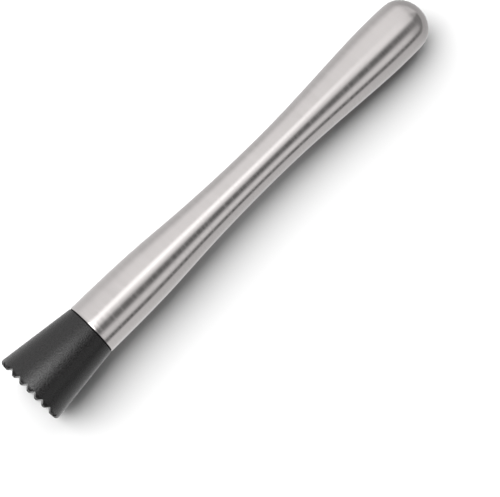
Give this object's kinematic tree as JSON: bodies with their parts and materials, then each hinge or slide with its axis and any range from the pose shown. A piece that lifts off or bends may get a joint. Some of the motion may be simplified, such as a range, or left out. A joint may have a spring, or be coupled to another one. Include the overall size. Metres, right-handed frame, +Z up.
{
  "type": "bar muddler",
  "caption": "Bar muddler: hollow waisted brushed steel handle with a domed end and a toothed black nylon head that screws on.",
  "frame": {"origin": "centre of the footprint of the tool lying on its side, on the surface it lies on", "axes": "+Z up; +X along the tool from the toothed head to the domed end; the tool's own axis falls 1.15 degrees towards +X, because the head's rim is wider than the handle's bulge"},
  "size_m": [0.2542, 0.0358, 0.0358],
  "materials": {
    "handle_steel": "brushed around the axis",
    "inner_steel": "as pressed",
    "seal_rubber": "matt",
    "bolt_steel": "rolled thread",
    "head_nylon": "fine moulded texture"
  },
  "bodies": {
    "handle": {"handle_tube": "handle_steel", "end_dome": "handle_steel", "bulkhead": "inner_steel", "weld_nut": "inner_steel"},
    "seal": {"seal_ring": "seal_rubber"},
    "head": {"muddler_head": "head_nylon", "head_bolt": "bolt_steel"}
  },
  "joints": [
    {"name": "head_advance", "type": "slide", "parent": "handle", "child": "seal", "axis": [-0.9998, 0, 0.0201], "range_m": [0, 0.00875]},
    {"name": "head_unscrew", "type": "hinge", "parent": "seal", "child": "head", "pos_m": [-0.12682, 0, 0.01795], "axis": [-0.9998, 0, 0.0201], "range_deg": [0, 2520]}
  ],
  "couplings": [
    {"joint": "head_unscrew", "follows": "head_advance", "rad_per_m": 5026.5}
  ]
}
